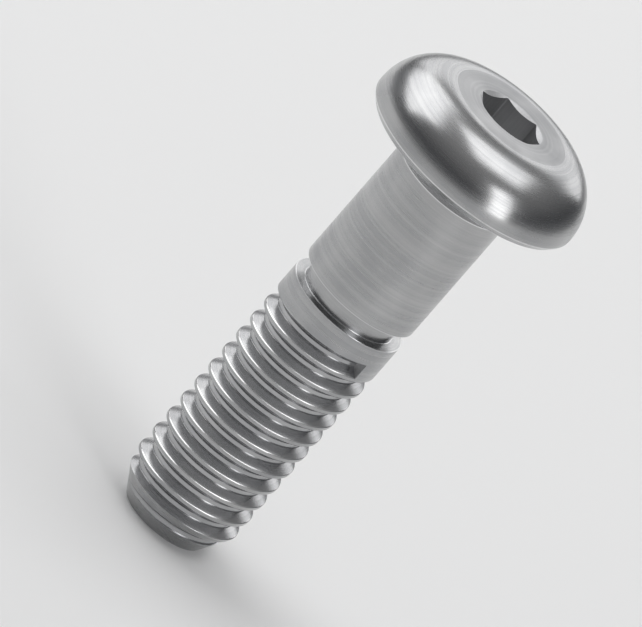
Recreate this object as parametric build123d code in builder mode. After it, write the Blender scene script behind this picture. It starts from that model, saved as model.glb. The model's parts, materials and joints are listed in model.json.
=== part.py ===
"""Clamp screw: a low round head with a hex socket, a plain shank, a relief neck and a threaded end.

The screw is turned, broached and threaded from one bar, so it is one solid. It stands on the flat
end of its thread: the origin is the middle of that flat, and +Z runs up the axis to the head.
All sizes are in millimetres and degrees.
"""

import os
from math import ceil, cos, radians, tan

from build123d import *

os.makedirs("parts", exist_ok=True)

# Lengths along the axis, measured down from the bearing face under the head
length = 22.0
shank_length = 7.8
neck_length = 0.9

# Head: the crown's round takes up all the height above the rim's upright band, the rim is
# chamfered below, and the seat cone under the head is as wide as it is high
head_diameter = 11.0
head_height = 3.0
rim_band = 0.2
rim_chamfer_height = 0.3
rim_chamfer_width = 0.25
seat_cone = 1.1

# Hex socket for a 3 mm key: broached in a drilled hole, with a countersunk mouth
key_size = 3.0
socket_depth = 2.0
countersink_angle = 120.0
drill_point_angle = 118.0

# Right-hand thread, 6 mm by 1 mm, cut in a blank that is turned a little under its full diameter
thread_diameter = 6.0
pitch = 1.0
flank_angle = 60.0
crest_allowance = 0.1
neck_clearance = 0.05
collar_length = 1.36

# Lead-in cone at the end of the thread
tip_chamfer = 0.875
tip_angle = 60.0

# Thread section: a basic triangle, cut off an eighth from its tip and a quarter from its root
triangle_height = pitch / (2 * tan(radians(flank_angle / 2)))
root_radius = thread_diameter / 2 - triangle_height * 5 / 8
root_flat = pitch / 4
groove_mouth = pitch * 7 / 8

# Radii of the blank
shank_radius = (thread_diameter - crest_allowance) / 2
neck_radius = root_radius - neck_clearance
tip_radius = shank_radius - tip_chamfer
head_radius = head_diameter / 2

# Heights above the end of the thread
bearing_z = length
head_top_z = bearing_z + head_height
neck_top_z = bearing_z - shank_length
neck_bottom_z = neck_top_z - neck_length
groove_end_z = neck_bottom_z - collar_length
tip_cone_z = tip_chamfer / tan(radians(tip_angle / 2))
rim_band_z = bearing_z + rim_chamfer_height
crown_radius = head_height - rim_chamfer_height - rim_band
socket_floor_z = head_top_z - socket_depth

# The countersink's mouth runs through the hexagon's corners
socket_corner_radius = key_size / 2 / cos(radians(30))
drill_point_depth = key_size / 2 / tan(radians(drill_point_angle / 2))

# The blank as it comes off the lathe: one profile, turned about the axis
with BuildPart() as clamp_screw:
    with BuildSketch(Plane.XZ) as profile:
        with BuildLine():
            Polyline(
                (0, 0),
                (tip_radius, 0),
                (shank_radius, tip_cone_z),
                (shank_radius, neck_bottom_z),
                (neck_radius, neck_bottom_z),
                (neck_radius, neck_top_z),
                (shank_radius, neck_top_z),
                (shank_radius, bearing_z - seat_cone),
                (shank_radius + seat_cone, bearing_z),
                (head_radius - rim_chamfer_width, bearing_z),
                (head_radius, rim_band_z),
                (head_radius, head_top_z),
                (0, head_top_z),
                close=True,
            )
        make_face()
        fillet(profile.vertices().sort_by_distance((head_radius, head_top_z))[0], crown_radius)
    revolve(axis=Axis.Z)

    # The socket: a countersunk hole drilled first, then the hexagon broached to the same depth
    with Locations((0, 0, head_top_z)):
        CounterSinkHole(key_size / 2, socket_corner_radius, socket_depth, countersink_angle)
    with Locations((0, 0, socket_floor_z - drill_point_depth / 2)):
        Cone(0, key_size / 2, drill_point_depth, mode=Mode.SUBTRACT)
    with BuildSketch(Plane.XY.offset(head_top_z)):
        RegularPolygon(key_size / 2, 6, major_radius=False, rotation=30)
    extrude(amount=-socket_depth, mode=Mode.SUBTRACT)

# What the threading tool takes away in half a turn: its section carried up a right-hand helix
half_turn_rise = pitch / 2
half_turns = 2 * (ceil(groove_end_z / pitch) + 1)
groove_start_z = groove_end_z - half_turns * half_turn_rise

with BuildPart() as half_turn:
    with BuildLine():
        Helix(pitch, half_turn_rise, root_radius, center=(0, 0, groove_start_z))
    with BuildSketch(Plane.XZ):
        with BuildLine():
            Polyline(
                (root_radius, groove_start_z - root_flat / 2),
                (thread_diameter / 2, groove_start_z - groove_mouth / 2),
                (thread_diameter / 2, groove_start_z + groove_mouth / 2),
                (root_radius, groove_start_z + root_flat / 2),
                close=True,
            )
        make_face()
    sweep(is_frenet=True)

# The whole groove, from below the screw's end up to a blunt stop in the collar on the +X side
with clamp_screw:
    with Locations([Pos(Z=n * half_turn_rise) * Rot(Z=n * 180) for n in range(half_turns)]):
        add(half_turn.part, mode=Mode.SUBTRACT)

clamp_screw.part.label = "clamp_screw"
export_step(clamp_screw.part, "parts/clamp_screw.step")
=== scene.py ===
"""A clamp screw of bright turned steel, standing on the flat end of its thread on a pale floor.

The screw is worked in millimetres, as on the lathe, and brought to metres when it is finished.
"""

import json
from math import cos, pi, radians, sin, tan

import bmesh
import bpy
from mathutils import Matrix, Vector


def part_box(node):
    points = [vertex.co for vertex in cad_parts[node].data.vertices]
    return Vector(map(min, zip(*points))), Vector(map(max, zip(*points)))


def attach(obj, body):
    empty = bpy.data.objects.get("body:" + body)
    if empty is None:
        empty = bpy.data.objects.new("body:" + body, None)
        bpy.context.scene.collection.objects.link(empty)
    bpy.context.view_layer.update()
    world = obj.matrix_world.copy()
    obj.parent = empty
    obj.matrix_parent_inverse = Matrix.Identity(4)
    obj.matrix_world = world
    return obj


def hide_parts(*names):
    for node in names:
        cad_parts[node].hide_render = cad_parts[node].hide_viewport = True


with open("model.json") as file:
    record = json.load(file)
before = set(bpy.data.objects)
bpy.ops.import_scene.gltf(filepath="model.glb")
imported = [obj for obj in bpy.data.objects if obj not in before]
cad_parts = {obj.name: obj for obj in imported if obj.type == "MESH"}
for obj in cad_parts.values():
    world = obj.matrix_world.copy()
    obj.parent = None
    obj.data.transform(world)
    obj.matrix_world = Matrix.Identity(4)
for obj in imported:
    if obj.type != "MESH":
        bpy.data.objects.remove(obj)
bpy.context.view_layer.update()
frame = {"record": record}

# The blank is turned from a bar of steel and left bright: a low round head with a seat cone under
# it, a plain shank, a relief neck, and the length that takes the thread, with a lead-in cone at
# its end. The lathe leaves fine rings all over it, and every corner is broken a few hundredths.
MM = 0.001
low_corner, high_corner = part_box("clamp_screw")
mounts = {mount["name"]: mount for mount in frame["record"]["mounts"]}
head_radius = (high_corner.x - low_corner.x) / 2 / MM
head_top = high_corner.z / MM
bearing_height = mounts["bearing_face"]["pos_m"][2] / MM
shank_radius = mounts["shank"]["dims"]["r_mm"]
shank_middle = mounts["shank"]["pos_m"][2] / MM
half_shank = mounts["shank"]["dims"]["length_mm"] / 2
seat_cone = bearing_height - shank_middle - half_shank
crown_round = 2.5
crown_foot = head_top - crown_round
rim_chamfer_height = 0.3
rim_chamfer_width = 0.25
neck_radius = 2.409
neck_length = 0.9
neck_top = shank_middle - half_shank
neck_bottom = neck_top - neck_length
tip_chamfer = 0.875
tip_cone_slope = tan(radians(60))
corner_break = 0.04
smallest_corner = radians(20)
round_steps = 144
crown_steps = 20
weld = 0.001

turned_light = (0.52, 0.52, 0.52, 1.0)
turned_dark = (0.36, 0.365, 0.375, 1.0)
lines_detail = 4.0
lines_roughness = 0.65
patches_per_mm = 0.45
patches_detail = 3.0
noise_low = 0.3
noise_high = 0.7
shallowest_bite = 0.35


def feed(tree, value, socket):
    """Give an input its value, which is another node's output or a plain number."""
    if isinstance(value, bpy.types.NodeSocket):
        tree.links.new(value, socket)
    else:
        socket.default_value = value


def marks_math(tree, operation, first, second=0.0):
    """Add a math node to a steel's tree, and return what it works out."""
    node = tree.nodes.new("ShaderNodeMath")
    node.operation = operation
    feed(tree, first, node.inputs[0])
    feed(tree, second, node.inputs[1])
    return node.outputs["Value"]


def marks_range(tree, noise, start, end):
    """Stretch the range that a noise mostly stays in to run from start to end."""
    node = tree.nodes.new("ShaderNodeMapRange")
    feed(tree, noise, node.inputs["Value"])
    feed(tree, noise_low, node.inputs["From Min"])
    feed(tree, noise_high, node.inputs["From Max"])
    feed(tree, start, node.inputs["To Min"])
    feed(tree, end, node.inputs["To Max"])
    return node.outputs["Result"]


# Marks of a cutting edge: fine lines square to Across, deeper in some patches than in others
tool_marks = bpy.data.node_groups.new("tool_marks", "ShaderNodeTree")
for socket_name, kind, way in (
    ("Across", "NodeSocketVector", "INPUT"),
    ("Marks Per Millimetre", "NodeSocketFloat", "INPUT"),
    ("Smoothest", "NodeSocketFloat", "INPUT"),
    ("Roughest", "NodeSocketFloat", "INPUT"),
    ("Dark", "NodeSocketColor", "INPUT"),
    ("Light", "NodeSocketColor", "INPUT"),
    ("Color", "NodeSocketColor", "OUTPUT"),
    ("Roughness", "NodeSocketFloat", "OUTPUT"),
    ("Height", "NodeSocketFloat", "OUTPUT"),
):
    tool_marks.interface.new_socket(name=socket_name, in_out=way, socket_type=kind)
marks_in = tool_marks.nodes.new("NodeGroupInput")
marks_out = tool_marks.nodes.new("NodeGroupOutput")

lines = tool_marks.nodes.new("ShaderNodeTexNoise")
lines.inputs["Detail"].default_value = lines_detail
lines.inputs["Roughness"].default_value = lines_roughness
tool_marks.links.new(marks_in.outputs["Across"], lines.inputs["Vector"])
tool_marks.links.new(marks_in.outputs["Marks Per Millimetre"], lines.inputs["Scale"])

patches_place = tool_marks.nodes.new("ShaderNodeTexCoord")
patches = tool_marks.nodes.new("ShaderNodeTexNoise")
patches.inputs["Scale"].default_value = patches_per_mm / MM
patches.inputs["Detail"].default_value = patches_detail
tool_marks.links.new(patches_place.outputs["Object"], patches.inputs["Vector"])

bite = marks_range(tool_marks, patches.outputs["Fac"], shallowest_bite, 1.0)
marks_height = marks_math(tool_marks, "MULTIPLY", lines.outputs["Fac"], bite)
tool_marks.links.new(marks_height, marks_out.inputs["Height"])

both_noises = marks_math(tool_marks, "ADD", lines.outputs["Fac"], patches.outputs["Fac"])
marks_mean = marks_math(tool_marks, "MULTIPLY", both_noises, 0.5)
marks_roughness = marks_range(
    tool_marks, marks_mean, marks_in.outputs["Smoothest"], marks_in.outputs["Roughest"])
tool_marks.links.new(marks_roughness, marks_out.inputs["Roughness"])

marks_tone = tool_marks.nodes.new("ShaderNodeMix")
marks_tone.data_type = "RGBA"
tool_marks.links.new(marks_range(tool_marks, marks_mean, 1.0, 0.0), marks_tone.inputs["Factor"])
tool_marks.links.new(marks_in.outputs["Dark"], marks_tone.inputs["A"])
tool_marks.links.new(marks_in.outputs["Light"], marks_tone.inputs["B"])
tool_marks.links.new(marks_tone.outputs["Result"], marks_out.inputs["Color"])


def machined_steel(name, dark, light, smoothest, roughest, marks_per_mm, mark_depth):
    """Make a steel with tool marks. Return it and its marks' node, whose Across is still free."""
    steel = bpy.data.materials.new(name)
    steel.use_nodes = True
    tree = steel.node_tree
    shader = tree.nodes["Principled BSDF"]
    shader.inputs["Metallic"].default_value = 1.0
    marks = tree.nodes.new("ShaderNodeGroup")
    marks.node_tree = tool_marks
    marks.inputs["Marks Per Millimetre"].default_value = marks_per_mm
    marks.inputs["Smoothest"].default_value = smoothest
    marks.inputs["Roughest"].default_value = roughest
    marks.inputs["Dark"].default_value = dark
    marks.inputs["Light"].default_value = light
    bump = tree.nodes.new("ShaderNodeBump")
    bump.inputs["Distance"].default_value = mark_depth * MM
    tree.links.new(marks.outputs["Color"], shader.inputs["Base Color"])
    tree.links.new(marks.outputs["Roughness"], shader.inputs["Roughness"])
    tree.links.new(marks.outputs["Height"], bump.inputs["Height"])
    tree.links.new(bump.outputs["Normal"], shader.inputs["Normal"])
    return steel, marks


def place_on_screw(tree):
    """Return the sockets X, Y and Z of the place on the screw, in millimetres."""
    coordinates = tree.nodes.new("ShaderNodeTexCoord")
    in_mm = tree.nodes.new("ShaderNodeVectorMath")
    in_mm.operation = "SCALE"
    in_mm.inputs["Scale"].default_value = 1 / MM
    split = tree.nodes.new("ShaderNodeSeparateXYZ")
    tree.links.new(coordinates.outputs["Object"], in_mm.inputs["Vector"])
    tree.links.new(in_mm.outputs["Vector"], split.inputs["Vector"])
    return split.outputs


def axis_distance(tree, place):
    """Return a socket for the distance of a place from the screw's axis."""
    x_squared = marks_math(tree, "MULTIPLY", place["X"], place["X"])
    y_squared = marks_math(tree, "MULTIPLY", place["Y"], place["Y"])
    return marks_math(tree, "SQRT", marks_math(tree, "ADD", x_squared, y_squared))


def run_marks(tree, marks, first, second):
    """Run a steel's marks along the lines where the two coordinates stay the same."""
    join = tree.nodes.new("ShaderNodeCombineXYZ")
    tree.links.new(first, join.inputs["X"])
    tree.links.new(second, join.inputs["Y"])
    tree.links.new(join.outputs["Vector"], marks.inputs["Across"])


def ringed_steel(name, **finish):
    """Make a steel whose tool marks are rings round the screw's axis."""
    steel, marks = machined_steel(name, **finish)
    place = place_on_screw(steel.node_tree)
    run_marks(steel.node_tree, marks, axis_distance(steel.node_tree, place), place["Z"])
    return steel


def profile_line(bm, points):
    """Join points given as (radius, height) by edges, and return the vertices."""
    verts = [bm.verts.new((radius, 0, height)) for radius, height in points]
    for start, end in zip(verts, verts[1:]):
        bm.edges.new((start, end))
    return verts


def spin_profile(bm):
    """Turn a profile that starts and ends on the Z axis into a closed solid."""
    bmesh.ops.spin(
        bm, geom=bm.verts[:] + bm.edges[:], cent=(0, 0, 0), axis=(0, 0, 1), angle=2 * pi,
        steps=round_steps, use_merge=True)
    bmesh.ops.remove_doubles(bm, verts=bm.verts, dist=weld)
    bmesh.ops.recalc_face_normals(bm, faces=bm.faces)


def steel_object(name, bm, steels):
    """Make an object, still in millimetres, from a finished bmesh and the steels of its faces."""
    mesh = bpy.data.meshes.new(name)
    bm.to_mesh(mesh)
    bm.free()
    for steel in steels:
        mesh.materials.append(steel)
    item = bpy.data.objects.new(name, mesh)
    bpy.context.scene.collection.objects.link(item)
    return item


turned_steel = ringed_steel(
    "turned_steel", dark=turned_dark, light=turned_light, smoothest=0.18, roughest=0.34,
    marks_per_mm=7.0, mark_depth=0.0035)

# Both ends are faced across their middle, which leaves coarser and duller rings than turning does
faced_light = (0.46, 0.46, 0.465, 1.0)
faced_dark = (0.30, 0.305, 0.315, 1.0)
faced_steel = ringed_steel(
    "faced_steel", dark=faced_dark, light=faced_light, smoothest=0.29, roughest=0.45,
    marks_per_mm=5.0, mark_depth=0.010)

# The broken corners are painted lighter than the rest of the steel, a painted highlight along them,
# and are smoother
corner_highlight_light = (0.80, 0.80, 0.80, 1.0)
corner_highlight_dark = (0.62, 0.625, 0.635, 1.0)
corner_highlight_steel = ringed_steel(
    "corner_highlight_steel", dark=corner_highlight_dark, light=corner_highlight_light, smoothest=0.14, roughest=0.26,
    marks_per_mm=7.0, mark_depth=0.001)
blank_steels = [turned_steel, faced_steel, corner_highlight_steel]

blank = bmesh.new()
stem = profile_line(blank, [
    (0, 0),
    (shank_radius - tip_chamfer, 0),
    (shank_radius, tip_chamfer * tip_cone_slope),
    (shank_radius, neck_bottom),
    (neck_radius, neck_bottom),
    (neck_radius, neck_top),
    (shank_radius, neck_top),
    (shank_radius, bearing_height - seat_cone),
    (shank_radius + seat_cone, bearing_height),
    (head_radius - rim_chamfer_width, bearing_height),
    (head_radius, bearing_height + rim_chamfer_height),
    (head_radius, crown_foot),
])
crown = bmesh.ops.spin(
    blank, geom=[stem[-1]], cent=(head_radius - crown_round, 0, crown_foot), axis=(0, -1, 0),
    angle=pi / 2, steps=crown_steps)
crown_end = next(part for part in crown["geom_last"] if isinstance(part, bmesh.types.BMVert))
blank.edges.new((crown_end, blank.verts.new((0, 0, head_top))))
spin_profile(blank)
# Its steps lie half a step round from the cutters', so that no cut runs along an edge of it
bmesh.ops.rotate(
    blank, verts=blank.verts, cent=(0, 0, 0), matrix=Matrix.Rotation(pi / round_steps, 3, "Z"))
for vert in blank.verts:
    if vert.co.xy.length < weld:
        for face in vert.link_faces:
            face.material_index = blank_steels.index(faced_steel)
corners = [edge for edge in blank.edges if edge.calc_face_angle() > smallest_corner]
broken_corners = bmesh.ops.bevel(
    blank, geom=corners, affect="EDGES", offset=corner_break, segments=2, profile=0.5, material=-1)
# The broken corners take the steel with the painted highlight
for face in broken_corners["faces"]:
    face.material_index = blank_steels.index(corner_highlight_steel)
screw = steel_object("turned_screw", blank, blank_steels)

# The thread is cut on the lathe, right-handed, one millimetre a turn. Its groove has a flat root
# with small rounds from the nose of the tool. It comes in through the lead-in cone and stops
# bluntly in the plain collar below the neck, on the +X side.
pitch = 1.0
thread_radius = 3.0
collar_length = 1.36
flank_slope = tan(radians(30))
# The root is five eighths of the flanks' triangle deep, and its flat is a quarter of a pitch wide
flank_triangle = pitch / 2 / flank_slope
root_depth = flank_triangle * 5 / 8
root_radius = thread_radius - root_depth
half_root = pitch / 4 / 2
root_round = 0.05
groove_turns = 13
groove_end = neck_bottom - collar_length
groove_start = groove_end - groove_turns * pitch
groove_overrun = 0.06
thread_light = (0.54, 0.54, 0.545, 1.0)
thread_dark = (0.36, 0.365, 0.375, 1.0)

threaded_steel, thread_marks = machined_steel(
    "threaded_steel", dark=thread_dark, light=thread_light, smoothest=0.17, roughest=0.31,
    marks_per_mm=9.0, mark_depth=0.0022)
thread_tree = threaded_steel.node_tree
thread_place = place_on_screw(thread_tree)
turned_by = marks_math(thread_tree, "ARCTAN2", thread_place["Y"], thread_place["X"])
helix_rise = marks_math(thread_tree, "MULTIPLY", turned_by, pitch / (2 * pi))
unwound = marks_math(thread_tree, "SUBTRACT", thread_place["Z"], helix_rise)
above_crest = marks_math(thread_tree, "SUBTRACT", unwound, groove_end - pitch / 2)
across_groove = marks_math(thread_tree, "FLOORED_MODULO", above_crest, pitch)
run_marks(thread_tree, thread_marks, axis_distance(thread_tree, thread_place), across_groove)

# The tool stops dead at the groove's end and leaves a dull, torn face there
torn_light = (0.66, 0.66, 0.665, 1.0)
torn_dark = (0.50, 0.505, 0.515, 1.0)
torn_steel = ringed_steel(
    "torn_steel", dark=torn_dark, light=torn_light, smoothest=0.46, roughest=0.62,
    marks_per_mm=8.0, mark_depth=0.008)
groove_steels = [threaded_steel, corner_highlight_steel, torn_steel]

groove = bmesh.new()
flank_top = shank_radius - corner_break
half_mouth = half_root + (flank_top - root_radius) * flank_slope
half_open = half_mouth + corner_break + groove_overrun
section = groove.faces.new([groove.verts.new((radius, 0, height)) for radius, height in (
    (root_radius, groove_start + half_root),
    (flank_top, groove_start + half_mouth),
    (shank_radius + groove_overrun, groove_start + half_open),
    (shank_radius + groove_overrun, groove_start - half_open),
    (flank_top, groove_start - half_mouth),
    (root_radius, groove_start - half_root),
)])
root_corners = [section.verts[0], section.verts[-1]]
bmesh.ops.bevel(
    groove, geom=root_corners, affect="VERTICES", offset=root_round, segments=3, profile=0.5,
    material=-1)
bmesh.ops.delete(groove, geom=groove.faces[:], context="FACES_ONLY")
bmesh.ops.spin(
    groove, geom=groove.verts[:] + groove.edges[:], cent=(0, 0, 0), axis=(0, 0, 1), angle=2 * pi,
    steps=round_steps, dvec=(0, 0, pitch / round_steps))
first_turn = groove.verts[:] + groove.edges[:] + groove.faces[:]
for turn in range(1, groove_turns):
    copied = bmesh.ops.duplicate(groove, geom=first_turn)["geom"]
    next_turn = [part for part in copied if isinstance(part, bmesh.types.BMVert)]
    bmesh.ops.translate(groove, verts=next_turn, vec=(0, 0, turn * pitch))
bmesh.ops.remove_doubles(groove, verts=groove.verts, dist=weld)
# The corners at the groove's mouth take the steel with the painted highlight
for face in groove.faces:
    if all(vert.co.xy.length > flank_top - weld for vert in face.verts):
        face.material_index = groove_steels.index(corner_highlight_steel)
for face in bmesh.ops.holes_fill(groove, edges=groove.edges)["faces"]:
    face.material_index = groove_steels.index(torn_steel)
bmesh.ops.recalc_face_normals(groove, faces=groove.faces)
groove_cutter = steel_object("groove_cutter", groove, groove_steels)

# The socket takes a 3 mm key. It is drilled, its mouth is countersunk out to the corners, and it
# is broached to a hexagon, which scores its walls from top to bottom. A flat faces +X.
key_size = 3.0
drill_radius = key_size / 2
socket_depth = 2.0
drill_point = drill_radius / tan(radians(59))
corner_radius = drill_radius / cos(radians(30))
countersink_slope = tan(radians(30))
socket_overrun = 0.5
broach_round = 0.06
# The socket's steel is painted lighter than the turned steel, painted light that lifts the shade
# inside the socket
lightened_socket_light = (0.58, 0.58, 0.585, 1.0)
lightened_socket_dark = (0.44, 0.445, 0.455, 1.0)

broached_steel, socket_marks = machined_steel(
    "broached_steel", dark=lightened_socket_dark, light=lightened_socket_light, smoothest=0.36, roughest=0.55,
    marks_per_mm=8.0, mark_depth=0.004)
socket_tree = broached_steel.node_tree
socket_place = place_on_screw(socket_tree)
run_marks(socket_tree, socket_marks, socket_place["X"], socket_place["Y"])

drill = bmesh.new()
profile_line(drill, [
    (0, head_top - socket_depth - drill_point),
    (drill_radius, head_top - socket_depth),
    (drill_radius, head_top - (corner_radius - drill_radius) * countersink_slope),
    (corner_radius + socket_overrun / countersink_slope, head_top + socket_overrun),
    (0, head_top + socket_overrun),
])
spin_profile(drill)
drill_cutter = steel_object("drill_cutter", drill, [broached_steel])

broach = bmesh.new()
bmesh.ops.create_cone(
    broach, cap_ends=True, segments=6, radius1=corner_radius, radius2=corner_radius,
    depth=socket_depth + socket_overrun,
    matrix=Matrix.Translation((0, 0, head_top + (socket_overrun - socket_depth) / 2)))
upright = [edge for edge in broach.edges if edge.verts[0].co.xy == edge.verts[1].co.xy]
bmesh.ops.bevel(
    broach, geom=upright, affect="EDGES", offset=broach_round, segments=3, profile=0.5, material=-1)
broach_cutter = steel_object("broach_cutter", broach, [broached_steel])

# The three cuts leave one body of steel, with the finish of each tool where that tool has cut.
# Points that the cuts have doubled are merged, the faces are shaded smooth up to the corners,
# where a large face counts for more than a small one, and the screw is brought to metres.
sharp_corner = radians(28)


def settle(item):
    """Make the object's modifiers a part of its mesh."""
    result = item.evaluated_get(bpy.context.evaluated_depsgraph_get())
    item.data = bpy.data.meshes.new_from_object(result)
    item.modifiers.clear()


cutters = (groove_cutter, drill_cutter, broach_cutter)
for cutter in cutters:
    cut = screw.modifiers.new(cutter.name, "BOOLEAN")
    cut.operation = "DIFFERENCE"
    cut.solver = "MANIFOLD"
    cut.material_mode = "TRANSFER"
    cut.object = cutter
settle(screw)
for cutter in cutters:
    bpy.data.objects.remove(cutter)

finished = bmesh.new()
finished.from_mesh(screw.data)
bmesh.ops.remove_doubles(finished, verts=finished.verts, dist=weld)
bmesh.ops.dissolve_degenerate(finished, dist=weld, edges=finished.edges)
finished.to_mesh(screw.data)
finished.free()
screw.data.shade_smooth()
screw.data.set_sharp_from_angle(angle=sharp_corner)
shading = screw.modifiers.new("shading", "WEIGHTED_NORMAL")
shading.keep_sharp = True
settle(screw)
screw.data.transform(Matrix.Scale(MM, 4))

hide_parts("clamp_screw")
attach(screw, "root")

# A plain pale floor of matt paper, much wider than the screw is high. The screw only stands on
# it, so it isn't part of the object.
floor_width = 2.4
floor_tone = (0.90, 0.90, 0.90, 1.0)
floor_roughness = 0.75

floor_grid = bmesh.new()
bmesh.ops.create_grid(floor_grid, x_segments=1, y_segments=1, size=floor_width / 2)
floor_mesh = bpy.data.meshes.new("floor")
floor_grid.to_mesh(floor_mesh)
floor_grid.free()
floor = bpy.data.objects.new("floor", floor_mesh)
bpy.context.scene.collection.objects.link(floor)
floor_paint = bpy.data.materials.new("floor_paint")
floor_paint.use_nodes = True
floor_shader = floor_paint.node_tree.nodes["Principled BSDF"]
floor_shader.inputs["Base Color"].default_value = floor_tone
floor_shader.inputs["Roughness"].default_value = floor_roughness
floor_mesh.materials.append(floor_paint)

# The camera looks along parallel lines from 20.7 degrees above the floor. It is turned about its
# line of sight, so that the standing screw slopes up to the right across the frame.
view_azimuth = radians(36.87)
view_elevation = radians(20.72)
view_roll = radians(41.035)
frame_width = 28.311 * MM
aim_height = 12.14 * MM
aim_left = 0.670 * MM
camera_distance = 0.4
nearest_seen = 0.01
farthest_seen = 10.0

to_camera = Vector((
    sin(view_azimuth) * cos(view_elevation),
    -cos(view_azimuth) * cos(view_elevation),
    sin(view_elevation),
))
level = Vector((cos(view_azimuth), sin(view_azimuth), 0))
upward = to_camera.cross(level)
frame_right = level * cos(view_roll) + upward * sin(view_roll)
frame_up = upward * cos(view_roll) - level * sin(view_roll)
camera_pose = Matrix((frame_right, frame_up, to_camera)).transposed().to_4x4()
camera_pose.translation = (
    Vector((0, 0, aim_height)) - level * aim_left + to_camera * camera_distance)

camera_data = bpy.data.cameras.new("camera")
camera_data.type = "ORTHO"
camera_data.ortho_scale = frame_width
camera_data.sensor_fit = "HORIZONTAL"
camera_data.clip_start = nearest_seen
camera_data.clip_end = farthest_seen
camera = bpy.data.objects.new("camera", camera_data)
camera.matrix_world = camera_pose
bpy.context.scene.collection.objects.link(camera)
bpy.context.scene.camera = camera

# Soft studio light: a wide key light on the left, a narrow light on the right for a glint on the
# rim, a low light behind that the flat of the head mirrors, a light overhead, and a grey
# surround that is darkest low down.
lights_aim = Vector((0, 0, 0.013))
surround_strength = 0.32
surround_tones = (
    (0.0, (0.62, 0.63, 0.65, 1.0)),
    (0.22, (0.20, 0.205, 0.22, 1.0)),
    (0.9, (0.95, 0.95, 0.95, 1.0)),
)

for light_name, stand, width, height, power in (
    ("key_light", (-0.24, -0.06, 0.22), 0.36, 0.26, 0.52),
    ("strip_light", (0.27, -0.03, 0.09), 0.10, 0.30, 0.22),
    ("back_light", (-0.17, 0.225, 0.13), 0.34, 0.14, 0.19),
    ("top_light", (0.03, 0.05, 0.34), 0.24, 0.24, 0.32),
):
    light_data = bpy.data.lights.new(light_name, "AREA")
    light_data.shape = "RECTANGLE"
    light_data.size = width
    light_data.size_y = height
    light_data.energy = power
    light = bpy.data.objects.new(light_name, light_data)
    light.location = stand
    light.rotation_euler = (light.location - lights_aim).to_track_quat("Z", "Y").to_euler()
    bpy.context.scene.collection.objects.link(light)

surround = bpy.data.worlds.new("surround")
surround.use_nodes = True
surround_tree = surround.node_tree
surround_glow = surround_tree.nodes["Background"]
surround_glow.inputs["Strength"].default_value = surround_strength
outward = surround_tree.nodes.new("ShaderNodeTexCoord")
outward_split = surround_tree.nodes.new("ShaderNodeSeparateXYZ")
fade = surround_tree.nodes.new("ShaderNodeValToRGB")
# The ramp comes with a stop at each end. A third goes between them, and then all are placed
fade.color_ramp.elements.new(0.5)
for stop, (stop_height, tone) in zip(fade.color_ramp.elements, surround_tones):
    stop.position = stop_height
    stop.color = tone
surround_tree.links.new(outward.outputs["Generated"], outward_split.inputs["Vector"])
surround_tree.links.new(outward_split.outputs["Z"], fade.inputs["Fac"])
surround_tree.links.new(fade.outputs["Color"], surround_glow.inputs["Color"])
bpy.context.scene.world = surround
bpy.context.scene.view_settings.view_transform = "Standard"
